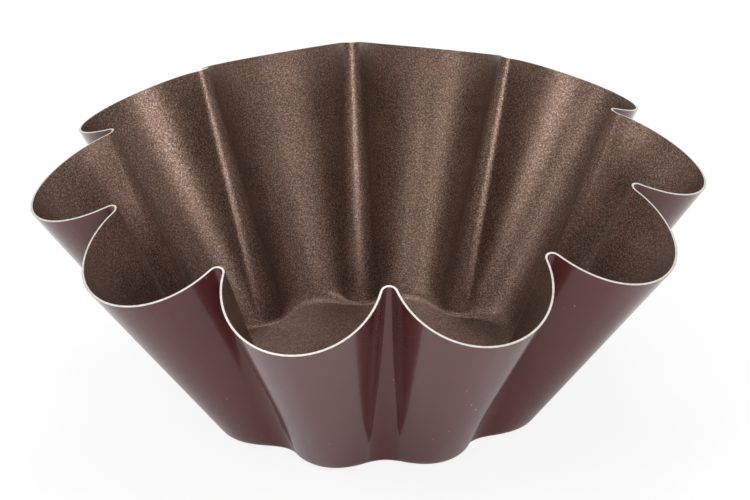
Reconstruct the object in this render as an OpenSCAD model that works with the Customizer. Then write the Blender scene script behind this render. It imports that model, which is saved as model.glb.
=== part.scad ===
// Fluted brioche mould
// One pressed sheet with ten flutes, coated on both faces and left bare at its trimmed rim.
// Units are millimetres. The mould stands on the plane z = 0 and its axis is Z.
// Two opposite ridges point along +Y and -Y, and two opposite lobes along +X and -X.
// Widths and heights are measured to the middle of the sheet, unless a comment says otherwise.

/* [Rim] */
// Diameter over two opposite lobe crowns, at the rim
rim_lobe_d = 199.4; // [188:0.2:220]
// Diameter over two opposite ridge tips, at the rim
rim_ridge_d = 157.8; // [140:0.2:170]
// Radius of each ridge's rounded tip, at the rim
rim_ridge_r = 2.3; // [1.5:0.1:6]
// Height of the ridge tips above the table
rim_h = 76; // [50:0.5:110]
// How far the rim lies lower at the lobe crowns than at the ridge tips
rim_dip = 11.5; // [0:0.5:20]
// How the rim falls from tip to crown: 1 is a straight fall, more stays high for longer
rim_dip_power = 1.1; // [1:0.05:2]

/* [Base] */
// Diameter over two opposite lobe crowns, where wall and floor would meet in a sharp corner
base_lobe_d = 106.4; // [98:0.2:124]
// Diameter over two opposite ridges, at that corner
base_ridge_d = 94; // [84:0.2:98]
// Radius of each ridge's rounded tip, at that corner
base_ridge_r = 8; // [4:0.5:12]
// Radius of the rounded foot between wall and floor
foot_r = 6; // [3:0.5:10]

/* [Sheet and coats] */
// Number of flutes around the mould
flutes = 10; // [9:1:11]
// Thickness of the steel sheet
sheet_t = 0.6; // [0.4:0.05:1.2]
// Thickness of the non-stick lining on the inside
lining_t = 0.08; // [0.05:0.01:0.3]
// Thickness of the lacquer on the outside
lacquer_t = 0.08; // [0.05:0.01:0.3]

/* [Hidden] */

// Flat faces that stand for the curves
ridge_steps = 3;
lobe_steps = 6;
wall_steps = 3;
foot_steps = 2;

pitch = 360 / flutes;
half_pitch = pitch / 2;
half_steps = ridge_steps + lobe_steps;
flute_steps = 2 * half_steps;
columns = flutes * flute_steps;
rows = wall_steps + foot_steps + 1;
first_ridge = 90;

// The four faces of the layers, as distances from the middle of the sheet, outward positive
outside_of_lacquer = sheet_t / 2 + lacquer_t;
outside_of_sheet = sheet_t / 2;
inside_of_sheet = -sheet_t / 2;
inside_of_lining = -sheet_t / 2 - lining_t;

floor_z = outside_of_lacquer;

// A fluted outline: lobe crown radius, ridge tip radius, radius of the ridge's arc
rim_outline = [rim_lobe_d / 2, rim_ridge_d / 2, rim_ridge_r];
base_outline = [base_lobe_d / 2, base_ridge_d / 2, base_ridge_r];

function unit(v) = v / norm(v);
function mix(a, b, t) = a * (1 - t) + b * t;
function ray(angle) = [cos(angle), sin(angle)];

// Each flute is two tangent arcs: a ridge arc about a centre outside the bowl, and a lobe arc
function ridge_centre(outline) = [outline[1] + outline[2], 0];
function lobe_arc_r(outline) =
    let (crown = outline[0], far = outline[1] + outline[2], tip_r = outline[2])
    (crown * crown + far * far - tip_r * tip_r - 2 * crown * far * cos(half_pitch))
    / (2 * (crown + tip_r - far * cos(half_pitch)));
function lobe_centre(outline) = (outline[0] - lobe_arc_r(outline)) * ray(half_pitch);
function joint_angle(outline) =
    let (across = lobe_centre(outline) - ridge_centre(outline))
    atan2(across[1], across[0]);

// A station is [point, outward direction], both in plan. Station 0 is the ridge tip.
function half_station(outline, step) =
    let (turn = joint_angle(outline))
    step <= ridge_steps
    ? let (angle = mix(180, turn, step / ridge_steps))
      [ridge_centre(outline) + outline[2] * ray(angle), -ray(angle)]
    : let (angle = mix(turn - 180, half_pitch, (step - ridge_steps) / lobe_steps))
      [lobe_centre(outline) + lobe_arc_r(outline) * ray(angle), ray(angle)];
function flip(v) = [v[0] * cos(pitch) + v[1] * sin(pitch), v[0] * sin(pitch) - v[1] * cos(pitch)];
function flute_station(outline, step) =
    step <= half_steps
    ? half_station(outline, step)
    : [for (v = half_station(outline, flute_steps - step)) flip(v)];
function turned(v, angle) =
    [v[0] * cos(angle) - v[1] * sin(angle), v[0] * sin(angle) + v[1] * cos(angle)];
function station(outline, column) =
    let (angle = first_ridge + pitch * floor(column / flute_steps))
    [for (v = flute_station(outline, column % flute_steps)) turned(v, angle)];

// The rim's height falls from the ridge tips to the lobe crowns
function crown_share(r) = max(0, (r - rim_outline[1]) / (rim_outline[0] - rim_outline[1]));
function rim_z(r) = rim_h - rim_dip * pow(crown_share(r), rim_dip_power);
function rim_slope(r) =
    -rim_dip * rim_dip_power * pow(crown_share(r), rim_dip_power - 1)
    / (rim_outline[0] - rim_outline[1]);
function rim_point(rim) = [rim[0][0], rim[0][1], rim_z(norm(rim[0]))];
function rim_run(rim) =
    let (along = [-rim[1][1], rim[1][0]])
    [along[0], along[1], rim_slope(norm(rim[0])) * (along * unit(rim[0]))];

// The wall's outward direction at the foot, and the centre that the foot rolls about
function foot_out(rim, base) =
    let (rise = rim_point(rim) - [base[0][0], base[0][1], floor_z])
    unit(cross([-base[1][1], base[1][0], 0], rise));
function foot_centre(rim, base) =
    let (lean = foot_out(rim, base)[2], back = foot_r * (1 + lean) / sqrt(1 - lean * lean))
    [base[0][0] - back * base[1][0], base[0][1] - back * base[1][1], floor_z + foot_r];

// One column of points, from the rim down to the edge of the flat floor
function column_points(column, away) =
    let (
        rim = station(rim_outline, column),
        base = station(base_outline, column),
        out = foot_out(rim, base),
        centre = foot_centre(rim, base),
        wall_foot = centre + (foot_r + away) * out,
        wall_out = unit(cross(rim_run(rim), rim_point(rim) - (centre + foot_r * out))),
        wall_top = rim_point(rim) + away * wall_out,
        lean = asin(out[2])
    )
    concat(
        [for (row = [0 : wall_steps]) mix(wall_top, wall_foot, row / wall_steps)],
        [for (row = [1 : foot_steps])
            let (tilt = mix(lean, -90, row / foot_steps))
            centre + (foot_r + away) * [cos(tilt) * base[1][0], cos(tilt) * base[1][1], sin(tilt)]]
    );
function face_points(away) =
    concat(
        [for (column = [0 : columns - 1]) each column_points(column, away)],
        [[0, 0, floor_z - away]]
    );

// Faces between neighbouring columns, seen from outside the mould
function strip(column, row, first) =
    let (
        next = (column + 1) % columns,
        a = first + column * rows + row,
        b = first + next * rows + row
    )
    [[a, b, b + 1], [a, b + 1, a + 1]];
function fan(column, first) =
    let (next = (column + 1) % columns)
    [first + column * rows + rows - 1, first + next * rows + rows - 1, first + columns * rows];
function face_triangles(first) =
    concat(
        [for (column = [0 : columns - 1]) for (row = [0 : rows - 2]) each strip(column, row, first)],
        [for (column = [0 : columns - 1]) fan(column, first)]
    );
function reversed(faces) = [for (f = faces) [f[2], f[1], f[0]]];
function rim_triangles(outer, inner) =
    [for (column = [0 : columns - 1])
        let (next = (column + 1) % columns)
        each [
            [outer + column * rows, inner + column * rows, inner + next * rows],
            [outer + column * rows, inner + next * rows, outer + next * rows]
        ]];

// A closed layer between two distances from the middle of the sheet
module layer(outer_away, inner_away) {
    inner_first = columns * rows + 1;
    polyhedron(
        points = concat(face_points(outer_away), face_points(inner_away)),
        faces = concat(
            face_triangles(0),
            reversed(face_triangles(inner_first)),
            rim_triangles(0, inner_first)
        ),
        convexity = flutes
    );
}

module steel_sheet() {
    color("#d8d6d1") layer(outside_of_sheet, inside_of_sheet);
}

module nonstick_lining() {
    color("#5e4a3d") layer(inside_of_sheet, inside_of_lining);
}

module outer_lacquer() {
    color("#552c30") layer(outside_of_lacquer, outside_of_sheet);
}

steel_sheet();
nonstick_lining();
outer_lacquer();
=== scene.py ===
import math

import bpy
from mathutils import Matrix, Vector


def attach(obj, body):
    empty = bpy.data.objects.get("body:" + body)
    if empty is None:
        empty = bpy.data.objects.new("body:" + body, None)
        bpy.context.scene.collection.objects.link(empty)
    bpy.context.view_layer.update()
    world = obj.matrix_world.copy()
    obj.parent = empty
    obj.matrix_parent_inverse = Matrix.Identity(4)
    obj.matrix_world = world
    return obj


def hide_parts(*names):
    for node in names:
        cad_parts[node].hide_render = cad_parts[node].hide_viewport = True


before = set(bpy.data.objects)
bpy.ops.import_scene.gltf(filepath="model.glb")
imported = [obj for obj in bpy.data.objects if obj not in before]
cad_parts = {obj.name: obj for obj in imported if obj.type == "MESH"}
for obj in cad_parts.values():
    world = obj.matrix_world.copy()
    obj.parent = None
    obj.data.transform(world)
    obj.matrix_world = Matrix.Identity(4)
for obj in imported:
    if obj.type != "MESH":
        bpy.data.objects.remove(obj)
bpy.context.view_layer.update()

MM = 0.001

# Rim and base of the mould, to the middle of the sheet
FLUTES = 10
RIM_LOBE_R = 99.67 * MM
RIM_RIDGE_R = 78.9 * MM
RIM_TIP_R = 2.3 * MM
RIM_H = 76.0 * MM
RIM_DIP = 11.5 * MM
RIM_DIP_POWER = 1.1
BASE_LOBE_R = 53.2 * MM
BASE_RIDGE_R = 47.0 * MM
BASE_TIP_R = 8.0 * MM
FOOT_AT_LOBE = 6.3 * MM
FOOT_AT_RIDGE = 2.0 * MM

# Sheet and coats
SHEET_T = 0.6 * MM
COAT_T = 0.08 * MM

# How finely the curves are drawn, and the sharpest fold that still shades as a curve
RIDGE_STEPS = 8
LOBE_STEPS = 18
WALL_STEPS = 22
FOOT_STEPS = 8
FLOOR_STEPS = 6
SMOOTH_FOLD = math.radians(50)

# Patterns of the finishes, in features to a metre
FLAKE_GRAIN = 2300.0
MOTTLE_GRAIN = 70.0
PAINT_CLOUD = 35.0
PAINT_PEEL = 110.0
DUST_GRAIN = 700.0
BURR_GRAIN = 900.0

# Colours of the finishes, 0 to 255
LINING_DARK = (64, 44, 39)
LINING_LIGHT = (88, 62, 53)
FLAKE_BRIGHT = (166, 142, 122)
PAINT_DARK = (64, 26, 28)
PAINT_LIGHT = (76, 33, 33)
DUST_PALE = (150, 120, 115)
STEEL_DULL = (188, 180, 168)
STEEL_BRIGHT = (246, 244, 240)
FLOOR_WHITE = (250, 250, 250)

# Roughness of each finish, and how far its pattern moves it
LINING_ROUGH = 0.30
MOTTLE_ROUGH = 0.08
FLAKE_POLISH = 0.06
PAINT_ROUGH = 0.16
CLOUD_ROUGH = 0.05
DUST_ROUGH = 0.3
STEEL_ROUGH = 0.35
BURR_ROUGH = 0.2

# Height of each finish's relief
FLAKE_RELIEF = 0.25 * MM
PEEL_RELIEF = 0.3 * MM
BURR_RELIEF = 0.1 * MM

# The photograph's frame and the camera that took it
FRAME_W = 750
LENS_PX = 4221.0
SENSOR_MM = 36.0
CAMERA_TURN = math.radians(-3.70)
CAMERA_RISE = math.radians(28.31)
CAMERA_ROLL = math.radians(-0.693)
CAMERA_FAR = 1257.0 * MM
CAMERA_AIM = Vector((1.41 * MM, 0.0, 45.0 * MM))

# The studio: its floor, its even white air, and how much of the floor the camera sees as white paper
FLOOR_SIZE = 6.0
FLOOR_GAP = 0.3 * MM
AIR_LIGHT = 0.72
FLOOR_PAPER = 0.85
WHITE = (1, 1, 1, 1)

# Lamps: name, place, what they point at, width and height in metres, watts
LAMPS = (
    ("window_left", (-0.8, -0.5, 1.1), (0, 0, 0.03), (0.5, 0.5), 4),
    ("top_back", (0.1, 0.7, 1.2), (0, 0, 0.03), (0.5, 0.5), 6),
    ("front_card", (0.05, -1.4, 0.5), (0, 0, 0.05), (0.3, 0.5), 12),
)

PITCH = 2 * math.pi / FLUTES
HALF = PITCH / 2
FIRST_RIDGE = math.pi / 2
HALF_STEPS = RIDGE_STEPS + LOBE_STEPS
FLUTE_STEPS = 2 * HALF_STEPS
COLUMNS = FLUTES * FLUTE_STEPS
ROWS = WALL_STEPS + 1 + FOOT_STEPS + FLOOR_STEPS - 1
HALF_SHEET = SHEET_T / 2
FLOOR_Z = HALF_SHEET + COAT_T
RIM = (RIM_LOBE_R, RIM_RIDGE_R, RIM_TIP_R)
BASE = (BASE_LOBE_R, BASE_RIDGE_R, BASE_TIP_R)


def mix(a, b, t):
    return a * (1 - t) + b * t


def ray(angle):
    return Vector((math.cos(angle), math.sin(angle), 0.0))


def arcs(outline):
    """Centres, radii and shared angle of a flute's ridge arc and lobe arc."""
    crown, tip, tip_r = outline
    far = tip + tip_r
    lobe_r = (crown**2 + far**2 - tip_r**2 - 2 * crown * far * math.cos(HALF)) / (
        2 * (crown + tip_r - far * math.cos(HALF)))
    ridge_c = ray(0.0) * far
    lobe_c = ray(HALF) * (crown - lobe_r)
    across = lobe_c - ridge_c
    return ridge_c, tip_r, lobe_c, lobe_r, math.atan2(across.y, across.x)


def half_station(outline, step):
    """Point and outward direction on half a flute, from the ridge tip to the lobe crown."""
    ridge_c, tip_r, lobe_c, lobe_r, turn = arcs(outline)
    if step <= RIDGE_STEPS:
        out = ray(mix(math.pi, turn, step / RIDGE_STEPS))
        return ridge_c + out * tip_r, -out
    out = ray(mix(turn - math.pi, HALF, (step - RIDGE_STEPS) / LOBE_STEPS))
    return lobe_c + out * lobe_r, out


def flipped(v):
    """The same point or direction on the flute's other half."""
    c, s = math.cos(PITCH), math.sin(PITCH)
    return Vector((v.x * c + v.y * s, v.x * s - v.y * c, 0.0))


def turned(v, angle):
    c, s = math.cos(angle), math.sin(angle)
    return Vector((v.x * c - v.y * s, v.x * s + v.y * c, 0.0))


def ring(outline):
    """Every column's point and outward direction, all round the mould."""
    flute = []
    for step in range(FLUTE_STEPS):
        if step <= HALF_STEPS:
            flute.append(half_station(outline, step))
        else:
            flute.append(tuple(flipped(v) for v in half_station(outline, FLUTE_STEPS - step)))
    turns = [FIRST_RIDGE + PITCH * k for k in range(FLUTES)]
    return [tuple(turned(v, turn) for v in station) for turn in turns for station in flute]


def crown_share(r, outline):
    """How far a radius is on its way from the ridge tip, 0, to the lobe crown, 1."""
    return min(1.0, max(0.0, (r - outline[1]) / (outline[0] - outline[1])))


def rim_z(r):
    return RIM_H - RIM_DIP * crown_share(r, RIM) ** RIM_DIP_POWER


def rim_slope(r):
    share = crown_share(r, RIM)
    if not share:
        return 0.0
    return -RIM_DIP * RIM_DIP_POWER * share ** (RIM_DIP_POWER - 1) / (RIM_LOBE_R - RIM_RIDGE_R)


def foot_r(base_point):
    """Radius of the roll from wall to floor, tighter at the ridges than at the lobes."""
    share = crown_share(base_point.length, BASE)
    return mix(FOOT_AT_RIDGE, FOOT_AT_LOBE, share * share * (3 - 2 * share))


def column_points(rim, base, away):
    """One column of a layer's face, from the rim down and in to the middle of the floor."""
    (rim_at, rim_out), (base_at, base_out) = rim, base
    top = Vector((rim_at.x, rim_at.y, rim_z(rim_at.length)))
    along = Vector((-rim_out.y, rim_out.x, 0.0))
    run = along + Vector((0, 0, rim_slope(rim_at.length) * along.dot(rim_at.normalized())))
    corner = Vector((base_at.x, base_at.y, FLOOR_Z))
    out = Vector((-base_out.y, base_out.x, 0.0)).cross(top - corner).normalized()
    round_r = foot_r(base_at)
    back = round_r * (1 + out.z) / math.sqrt(1 - out.z**2)
    centre = corner - base_out * back + Vector((0, 0, round_r))
    wall_foot = centre + out * (round_r + away)
    wall_out = run.cross(top - (centre + out * round_r)).normalized()
    wall_top = top + wall_out * away
    points = [mix(wall_top, wall_foot, k / WALL_STEPS) for k in range(WALL_STEPS + 1)]
    lean = math.asin(out.z)
    for k in range(1, FOOT_STEPS + 1):
        tilt = mix(lean, -math.pi / 2, k / FOOT_STEPS)
        roll = base_out * math.cos(tilt) + Vector((0, 0, math.sin(tilt)))
        points.append(centre + roll * (round_r + away))
    edge = points[-1].copy()
    for k in range(1, FLOOR_STEPS):
        share = 1 - k / FLOOR_STEPS
        points.append(Vector((edge.x * share, edge.y * share, edge.z)))
    return points


def face_points(away):
    """All points of a layer's face, and last the middle of the floor."""
    columns = [column_points(rim, base, away) for rim, base in zip(ring(RIM), ring(BASE))]
    return [p for column in columns for p in column] + [Vector((0, 0, FLOOR_Z - away))]


def face_quads(first):
    """The faces between those points, closed by triangles in the middle of the floor."""
    quads = []
    for column in range(COLUMNS):
        here = first + column * ROWS
        there = first + (column + 1) % COLUMNS * ROWS
        for row in range(ROWS - 1):
            quads.append((here + row, here + row + 1, there + row + 1, there + row))
        quads.append((here + ROWS - 1, first + COLUMNS * ROWS, there + ROWS - 1))
    return quads


def layer(name, outer_away, inner_away):
    """A closed coat or sheet between two distances from the middle of the steel."""
    outer = face_points(outer_away)
    inner = face_points(inner_away)
    start = len(outer)
    faces = face_quads(0) + [tuple(reversed(q)) for q in face_quads(start)]
    for column in range(COLUMNS):
        here = column * ROWS
        there = (column + 1) % COLUMNS * ROWS
        faces.append((here, there, start + there, start + here))
    mesh = bpy.data.meshes.new(name)
    mesh.from_pydata(outer + inner, [], faces)
    mesh.validate()
    piece = bpy.data.objects.new(name, mesh)
    bpy.context.scene.collection.objects.link(piece)
    bpy.ops.object.select_all(action="DESELECT")
    piece.select_set(True)
    bpy.context.view_layer.objects.active = piece
    bpy.ops.object.shade_smooth_by_angle(angle=SMOOTH_FOLD)
    return piece


class Wire:
    """A shader socket that takes part in plain arithmetic."""

    def __init__(self, maker, socket):
        self.maker, self.socket = maker, socket

    def _math(self, operation, a, b):
        return self.maker.node("ShaderNodeMath", {"operation": operation}, {0: a, 1: b})

    def __add__(self, other):
        return self._math("ADD", self, other)

    def __radd__(self, other):
        return self._math("ADD", other, self)

    def __sub__(self, other):
        return self._math("SUBTRACT", self, other)

    def __rsub__(self, other):
        return self._math("SUBTRACT", other, self)

    def __mul__(self, other):
        return self._math("MULTIPLY", self, other)

    def __rmul__(self, other):
        return self._math("MULTIPLY", other, self)


def linear(colour):
    """A colour written as 0 to 255, as the shader wants it."""
    def one(v):
        v /= 255
        return v / 12.92 if v <= 0.04045 else ((v + 0.055) / 1.055) ** 2.4
    return (*(one(v) for v in colour), 1.0)


class Finish:
    """A material being made: its nodes, and the Principled surface that they feed."""

    def __init__(self, name, constants):
        self.material = bpy.data.materials.new(name)
        self.material.use_nodes = True
        self.tree = self.material.node_tree
        self.surface = self.tree.nodes["Principled BSDF"]
        for socket, value in constants.items():
            self.into(socket, value)

    def node(self, kind, settings=None, sockets=None, out=0):
        made = self.tree.nodes.new(kind)
        for key, value in (settings or {}).items():
            setattr(made, key, value)
        for key, value in (sockets or {}).items():
            self.feed(made.inputs[key], value)
        return Wire(self, made.outputs[out])

    def feed(self, socket, value):
        if isinstance(value, Wire):
            self.tree.links.new(value.socket, socket)
        else:
            socket.default_value = value

    def into(self, name, value):
        self.feed(self.surface.inputs[name], value)

    def noise(self, scale, detail, roughness):
        place = self.node("ShaderNodeTexCoord", out="Object")
        sockets = {"Vector": place, "Scale": scale, "Detail": detail, "Roughness": roughness}
        return self.node("ShaderNodeTexNoise", None, sockets, out="Fac")

    def stretch(self, value, low, high):
        """The stretch of a pattern from low to high, spread over 0 to 1."""
        return self.node("ShaderNodeMapRange", None, {"Value": value, "From Min": low, "From Max": high})

    def blend(self, share, a, b):
        return self.node("ShaderNodeMix", {"data_type": "RGBA"}, {0: share, 6: a, 7: b}, out=2)

    def bump(self, height, strength, distance):
        sockets = {"Height": height, "Strength": strength, "Distance": distance}
        self.into("Normal", self.node("ShaderNodeBump", None, sockets))


def nonstick_finish():
    """Brown coat with a fine metal grain, a little mottled."""
    f = Finish("nonstick_metal_flake", {"Metallic": 0.6, "IOR": 1.5})
    flake = f.noise(FLAKE_GRAIN, 3.0, 0.7)
    glint = f.stretch(flake, 0.44, 0.82)
    mottle = f.stretch(f.noise(MOTTLE_GRAIN, 4.0, 0.6), 0.3, 0.7)
    ground = f.blend(mottle, linear(LINING_DARK), linear(LINING_LIGHT))
    f.into("Base Color", f.blend(glint, ground, linear(FLAKE_BRIGHT)))
    f.into("Roughness", LINING_ROUGH + MOTTLE_ROUGH * mottle - FLAKE_POLISH * glint)
    f.bump(flake, 0.35, FLAKE_RELIEF)
    return f.material


def lacquer_finish():
    """Smooth aubergine lacquer with a faint orange peel and a few specks of dust."""
    constants = {"Metallic": 0.0, "IOR": 1.42, "Coat Roughness": 0.04, "Coat Weight": 0.25}
    f = Finish("aubergine_lacquer", constants)
    cloud = f.noise(PAINT_CLOUD, 3.0, 0.5)
    dust = f.stretch(f.noise(DUST_GRAIN, 0.0, 0.5), 0.86, 0.9)
    ground = f.blend(cloud, linear(PAINT_DARK), linear(PAINT_LIGHT))
    f.into("Base Color", f.blend(dust, ground, linear(DUST_PALE)))
    f.into("Roughness", PAINT_ROUGH + CLOUD_ROUGH * cloud + DUST_ROUGH * dust)
    f.bump(f.noise(PAINT_PEEL, 1.0, 0.5), 0.015, PEEL_RELIEF)
    return f.material


def cut_steel_finish():
    """Bare sheared edge, bright with fine burrs."""
    f = Finish("bare_cut_steel", {"Metallic": 0.6, "IOR": 2.0})
    burr = f.noise(BURR_GRAIN, 3.0, 0.6)
    f.into("Base Color", f.blend(burr, linear(STEEL_DULL), linear(STEEL_BRIGHT)))
    f.into("Roughness", STEEL_ROUGH + BURR_ROUGH * burr)
    f.bump(burr, 0.2, BURR_RELIEF)
    return f.material


def floor_finish():
    """Matt white floor, seen by the camera mostly as white paper, so that it keeps a soft shadow."""
    f = Finish("studio_floor_white", {"Roughness": 0.9, "Base Color": linear(FLOOR_WHITE)})
    paper = f.node("ShaderNodeEmission", None, {"Color": WHITE, "Strength": 1.0})
    seen = FLOOR_PAPER * f.node("ShaderNodeLightPath", out="Is Camera Ray")
    lit = Wire(f, f.surface.outputs[0])
    both = f.node("ShaderNodeMixShader", None, {0: seen, 1: lit, 2: paper})
    f.feed(f.tree.nodes["Material Output"].inputs["Surface"], both)
    return f.material


def dress(piece, node, material):
    piece.data.materials.clear()
    piece.data.materials.append(material)
    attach(piece, "root")
    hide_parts(node)


def soft_lamp(name, at, aim, size, watts):
    light = bpy.data.lights.new(name, "AREA")
    light.shape = "RECTANGLE"
    light.size, light.size_y = size
    light.energy = watts
    lamp = bpy.data.objects.new(name, light)
    lamp.location = at
    lamp.rotation_euler = (Vector(aim) - Vector(at)).to_track_quat("-Z", "Y").to_euler()
    bpy.context.scene.collection.objects.link(lamp)


def camera():
    level_back = Vector((math.sin(CAMERA_TURN), -math.cos(CAMERA_TURN), 0.0))
    back = level_back * math.cos(CAMERA_RISE) + Vector((0, 0, math.sin(CAMERA_RISE)))
    lens = bpy.data.cameras.new("photo_camera")
    lens.sensor_width = SENSOR_MM
    lens.lens = LENS_PX / FRAME_W * SENSOR_MM
    eye = bpy.data.objects.new("photo_camera", lens)
    eye.location = CAMERA_AIM + back * CAMERA_FAR
    level = back.to_track_quat("Z", "Y").to_matrix().to_4x4()
    eye.rotation_euler = (level @ Matrix.Rotation(CAMERA_ROLL, 4, "Z")).to_euler()
    bpy.context.scene.collection.objects.link(eye)
    bpy.context.scene.camera = eye


def studio():
    """White floor just under the mould, even white air and three soft lamps."""
    bpy.ops.object.select_all(action="DESELECT")
    bpy.ops.mesh.primitive_plane_add(size=FLOOR_SIZE, location=(0, 0, -FLOOR_GAP))
    floor = bpy.context.object
    floor.name = "studio_floor"
    floor.data.materials.append(floor_finish())
    world = bpy.data.worlds.new("studio_air")
    world.use_nodes = True
    air = world.node_tree.nodes["Background"].inputs
    air["Color"].default_value = WHITE
    air["Strength"].default_value = AIR_LIGHT
    bpy.context.scene.world = world
    for lamp in LAMPS:
        soft_lamp(*lamp)


camera()
studio()
lacquer = layer("lacquer_skin", HALF_SHEET + COAT_T, HALF_SHEET)
sheet = layer("pressed_sheet", HALF_SHEET, -HALF_SHEET)
lining = layer("nonstick_skin", -HALF_SHEET, -HALF_SHEET - COAT_T)
dress(lacquer, "outer_lacquer", lacquer_finish())
dress(sheet, "steel_sheet", cut_steel_finish())
dress(lining, "nonstick_lining", nonstick_finish())

bpy.context.scene.view_settings.view_transform = "Standard"
